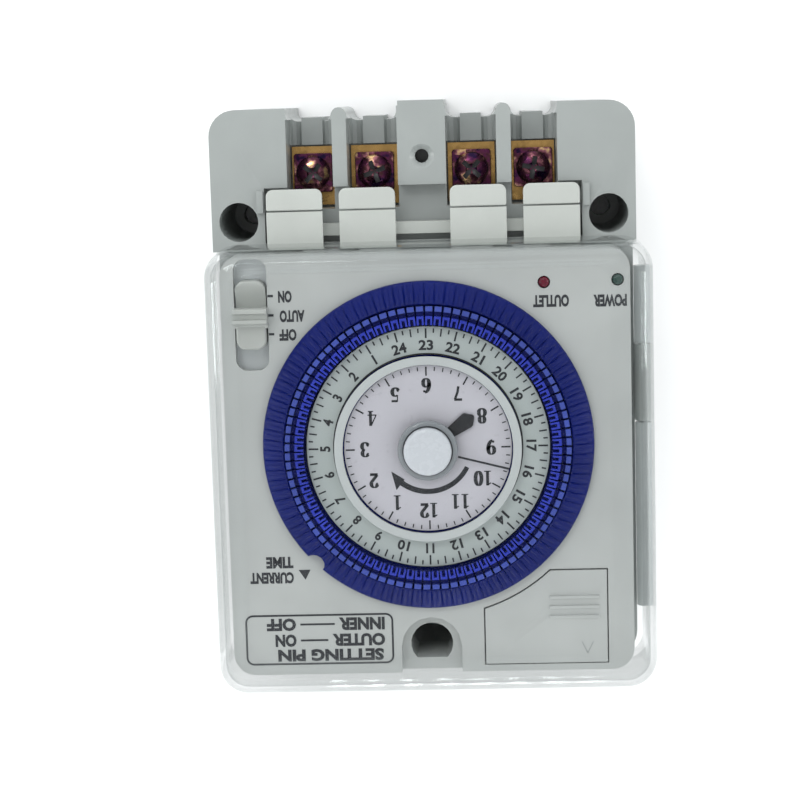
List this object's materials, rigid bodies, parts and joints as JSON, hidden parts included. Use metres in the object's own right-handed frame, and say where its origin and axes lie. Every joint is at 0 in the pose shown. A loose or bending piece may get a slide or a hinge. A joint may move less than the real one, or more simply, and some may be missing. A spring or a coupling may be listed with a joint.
{
  "type": "programmable timer",
  "caption": "Panel-mounting 24 hour time switch with a pin-set dial, clock face, slide override, screw terminals and a hinged clear cover.",
  "frame": {"origin": "centre of the back face, which rests on the wall or bench", "axes": "+X to the right seen from the front, +Y away from the terminals, +Z out of the dial"},
  "size_m": [0.1014, 0.1339, 0.058],
  "materials": {
    "housing": "moulded, fine satin",
    "panel": "moulded, satin, printed",
    "flap": "moulded, satin",
    "clear": "clear polycarbonate, polished",
    "dial_blue": "moulded, satin gloss",
    "scale": "printed scale",
    "dial_face": "printed dial",
    "black": "satin",
    "nylon": "natural acetal",
    "steel": "zinc plated",
    "zinc": "iridescent passivated zinc",
    "brass": "plain",
    "board": "solder resist",
    "lens_red": "tinted lens",
    "lens_green": "tinted lens",
    "cell": "shrink sleeve"
  },
  "bodies": {
    "root": {"rear_housing": "housing", "front_case": "panel", "cover_hinge_pin": "steel", "backup_battery": "cell", "terminal_guard": "flap", "clock_dial": "dial_face", "dial_bearing": "nylon", "drive_motor": "steel", "mechanism_plate": "steel", "microswitch_body": "black", "follower_pivot": "steel", "follower_spring": "steel", "override_switch_body": "black", "circuit_board": "board", "relay": "black", "output_led": "lens_red", "power_led": "lens_green", "terminal_plate_1": "brass", "terminal_plate_2": "brass", "terminal_plate_3": "brass", "terminal_plate_4": "brass", "case_screw_1": "steel", "case_screw_2": "steel", "case_screw_3": "steel"},
    "cover": {"clear_cover": "clear"},
    "door": {"battery_door": "panel"},
    "slider": {"override_slider": "flap"},
    "ring": {"program_ring": "dial_blue", "hour_scale": "scale", "program_gear": "nylon"},
    "hour": {"hour_hand": "black", "hour_wheel": "nylon"},
    "minute": {"minute_disc": "clear", "knob_skirt": "clear", "knob_cap": "dial_face", "minute_arbor": "brass"},
    "transfer": {"transfer_arbor": "nylon"},
    "rotor": {"motor_pinion": "brass"},
    "lever": {"follower_lever": "nylon"},
    "plunger": {"microswitch_plunger": "nylon"},
    "pin_1": {"time_pin_1": "dial_blue"},
    "pin_2": {"time_pin_2": "dial_blue"},
    "pin_3": {"time_pin_3": "dial_blue"},
    "pin_4": {"time_pin_4": "dial_blue"},
    "pin_5": {"time_pin_5": "dial_blue"},
    "pin_6": {"time_pin_6": "dial_blue"},
    "pin_7": {"time_pin_7": "dial_blue"},
    "pin_8": {"time_pin_8": "dial_blue"},
    "flap_1": {"terminal_flap_1": "flap"},
    "clamp_1": {"terminal_screw_1": "zinc", "clamp_washer_1": "zinc"},
    "flap_2": {"terminal_flap_2": "flap"},
    "clamp_2": {"terminal_screw_2": "zinc", "clamp_washer_2": "zinc"},
    "flap_3": {"terminal_flap_3": "flap"},
    "clamp_3": {"terminal_screw_3": "zinc", "clamp_washer_3": "zinc"},
    "flap_4": {"terminal_flap_4": "flap"},
    "clamp_4": {"terminal_screw_4": "zinc", "clamp_washer_4": "zinc"}
  },
  "joints": [
    {"name": "cover_hinge", "type": "hinge", "parent": "root", "child": "cover", "pos_m": [-0.0502, 0.012, 0.0282], "axis": [0, -1, 0], "range_deg": [0, 110]},
    {"name": "door_lift", "type": "slide", "parent": "root", "child": "door", "axis": [0, 0, 1], "range_m": [0, 0.0075]},
    {"name": "override_slide", "type": "slide", "parent": "root", "child": "slider", "axis": [0, 1, 0], "range_m": [-0.0043, 0.0043]},
    {"name": "ring_turn", "type": "hinge", "parent": "root", "child": "ring", "pos_m": [0, 0.0105, 0.0444], "axis": [0, 0, -1], "continuous": true},
    {"name": "hour_turn", "type": "hinge", "parent": "root", "child": "hour", "pos_m": [0, 0.0105, 0.017], "axis": [0, 0, -1], "continuous": true},
    {"name": "minute_turn", "type": "hinge", "parent": "root", "child": "minute", "pos_m": [0, 0.0105, 0.012], "axis": [0, 0, -1], "continuous": true},
    {"name": "transfer_turn", "type": "hinge", "parent": "root", "child": "transfer", "pos_m": [-0.02025, 0.0105, 0.012], "axis": [0, 0, -1], "continuous": true},
    {"name": "rotor_turn", "type": "hinge", "parent": "root", "child": "rotor", "pos_m": [-0.02025, -0.00848, 0.012], "axis": [0, 0, -1], "continuous": true},
    {"name": "follower_rock", "type": "hinge", "parent": "root", "child": "lever", "pos_m": [0, -0.029, 0.037], "axis": [-1, 0, 0], "range_deg": [0, 4.5], "stiffness_Nm_per_rad": 0.01, "springref_deg": -5.73},
    {"name": "plunger_slide", "type": "slide", "parent": "root", "child": "plunger", "axis": [0, 0, -1], "range_m": [0, 0.0014]},
    {"name": "pin_slide_1", "type": "slide", "parent": "ring", "child": "pin_1", "axis": [0.9995, 0.0327, 0], "range_m": [0, 0.0018]},
    {"name": "pin_slide_2", "type": "slide", "parent": "ring", "child": "pin_2", "axis": [0.6836, 0.7299, 0], "range_m": [0, 0.0018]},
    {"name": "pin_slide_3", "type": "slide", "parent": "ring", "child": "pin_3", "axis": [-0.0327, 0.9995, 0], "range_m": [0, 0.0018]},
    {"name": "pin_slide_4", "type": "slide", "parent": "ring", "child": "pin_4", "axis": [-0.7299, 0.6836, 0], "range_m": [0, 0.0018]},
    {"name": "pin_slide_5", "type": "slide", "parent": "ring", "child": "pin_5", "axis": [-0.9995, -0.0327, 0], "range_m": [0, 0.0018]},
    {"name": "pin_slide_6", "type": "slide", "parent": "ring", "child": "pin_6", "axis": [-0.6836, -0.7299, 0], "range_m": [0, 0.0018]},
    {"name": "pin_slide_7", "type": "slide", "parent": "ring", "child": "pin_7", "axis": [0.0327, -0.9995, 0], "range_m": [0, 0.0018]},
    {"name": "pin_slide_8", "type": "slide", "parent": "ring", "child": "pin_8", "axis": [0.7299, -0.6836, 0], "range_m": [0, 0.0018]},
    {"name": "flap_fold_1", "type": "hinge", "parent": "root", "child": "flap_1", "pos_m": [-0.0292, -0.04335, 0.0399], "axis": [-1, 0, 0], "range_deg": [0, 100]},
    {"name": "flap_fold_2", "type": "hinge", "parent": "root", "child": "flap_2", "pos_m": [-0.0126, -0.04335, 0.0399], "axis": [-1, 0, 0], "range_deg": [0, 100]},
    {"name": "flap_fold_3", "type": "hinge", "parent": "root", "child": "flap_3", "pos_m": [0.0126, -0.04335, 0.0399], "axis": [-1, 0, 0], "range_deg": [0, 100]},
    {"name": "flap_fold_4", "type": "hinge", "parent": "root", "child": "flap_4", "pos_m": [0.0292, -0.04335, 0.0399], "axis": [-1, 0, 0], "range_deg": [0, 100]},
    {"name": "clamp_lift_1", "type": "slide", "parent": "root", "child": "clamp_1", "axis": [0, 0, 1], "range_m": [0, 0.0025]},
    {"name": "clamp_lift_2", "type": "slide", "parent": "root", "child": "clamp_2", "axis": [0, 0, 1], "range_m": [0, 0.0025]},
    {"name": "clamp_lift_3", "type": "slide", "parent": "root", "child": "clamp_3", "axis": [0, 0, 1], "range_m": [0, 0.0025]},
    {"name": "clamp_lift_4", "type": "slide", "parent": "root", "child": "clamp_4", "axis": [0, 0, 1], "range_m": [0, 0.0025]}
  ],
  "couplings": [
    {"joint": "hour_turn", "follows": "ring_turn", "ratio": 2},
    {"joint": "minute_turn", "follows": "ring_turn", "ratio": 24},
    {"joint": "transfer_turn", "follows": "ring_turn", "ratio": -8},
    {"joint": "rotor_turn", "follows": "ring_turn", "ratio": 32},
    {"joint": "plunger_slide", "follows": "follower_rock", "m_per_rad": 0.015}
  ]
}
